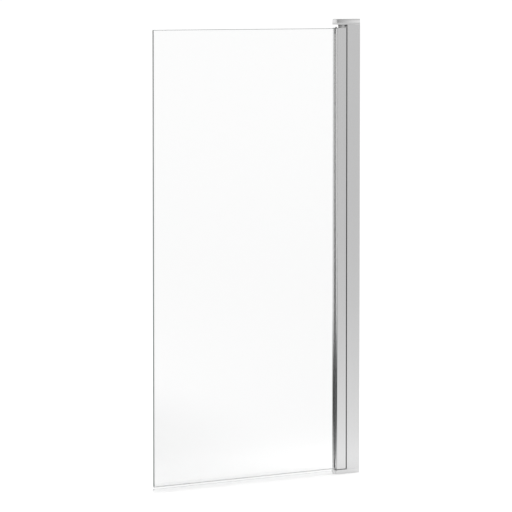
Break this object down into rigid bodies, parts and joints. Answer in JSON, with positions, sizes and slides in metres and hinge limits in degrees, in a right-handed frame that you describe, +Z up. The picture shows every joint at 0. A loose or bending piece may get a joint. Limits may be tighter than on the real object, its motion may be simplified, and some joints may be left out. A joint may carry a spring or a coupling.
{
  "type": "bath screen",
  "caption": "Hinged bath screen: clear glass panel on a wall-fixed polished aluminium upright, swinging outward and rising clear of the bath rim.",
  "frame": {"origin": "on the wall plane, on the glass panel's centre plane, at the bath rim: the foot of the wall channel's back face", "axes": "+X into the wall, so the screen reaches along -X; +Y towards the bath side, -Y towards the room side, +Z up"},
  "size_m": [0.8, 0.029, 1.4],
  "materials": {
    "polished_aluminium": "bright polished and anodised",
    "mill_aluminium": "plain extruded",
    "chromed_cap": "bright chromed moulding",
    "cast_zinc": "tumbled die casting",
    "stainless_steel": "turned, lightly polished",
    "clear_glass": "clear toughened, polished edges",
    "grey_gasket": "smooth moulded",
    "silvered_bead": "vinyl extrusion with a silvered skin",
    "black_seal": "matt extruded",
    "clear_seal": "clear flexible extrusion",
    "grey_nylon": "light grey, moulded",
    "white_acetal": "machined, smooth"
  },
  "bodies": {
    "wall_frame": {"wall_channel": "mill_aluminium", "wall_profile": "polished_aluminium", "front_gap_seal": "black_seal", "rear_gap_seal": "black_seal", "profile_fixing_screws": "stainless_steel", "screw_cover_caps": "chromed_cap", "top_bracket": "cast_zinc", "top_bracket_screws": "stainless_steel", "top_cap": "chromed_cap", "bottom_bracket": "cast_zinc", "bottom_bracket_screws": "stainless_steel", "bottom_cap": "chromed_cap", "lower_pivot_pin": "stainless_steel", "fixed_cam": "white_acetal"},
    "turning_bush": {"pivot_bush": "white_acetal"},
    "panel": {"pivot_profile": "polished_aluminium", "glass_panel": "clear_glass", "front_glass_gasket": "silvered_bead", "rear_glass_gasket": "silvered_bead", "glass_rest_pad": "grey_gasket", "top_plug": "grey_nylon", "top_plug_screws": "stainless_steel", "upper_pivot_pin": "stainless_steel", "bottom_plug": "grey_nylon", "bottom_plug_screws": "stainless_steel", "cam_follower": "grey_nylon", "bottom_seal": "clear_seal"}
  },
  "joints": [
    {"name": "swing", "type": "hinge", "parent": "wall_frame", "child": "turning_bush", "pos_m": [-0.066, 0, 1.39], "axis": [0, 0, 1], "range_deg": [0, 90]},
    {"name": "rise", "type": "slide", "parent": "turning_bush", "child": "panel", "axis": [0, 0, 1], "range_m": [0, 0.006]}
  ],
  "couplings": [
    {"joint": "rise", "follows": "swing", "m_per_rad": 0.0038197}
  ]
}
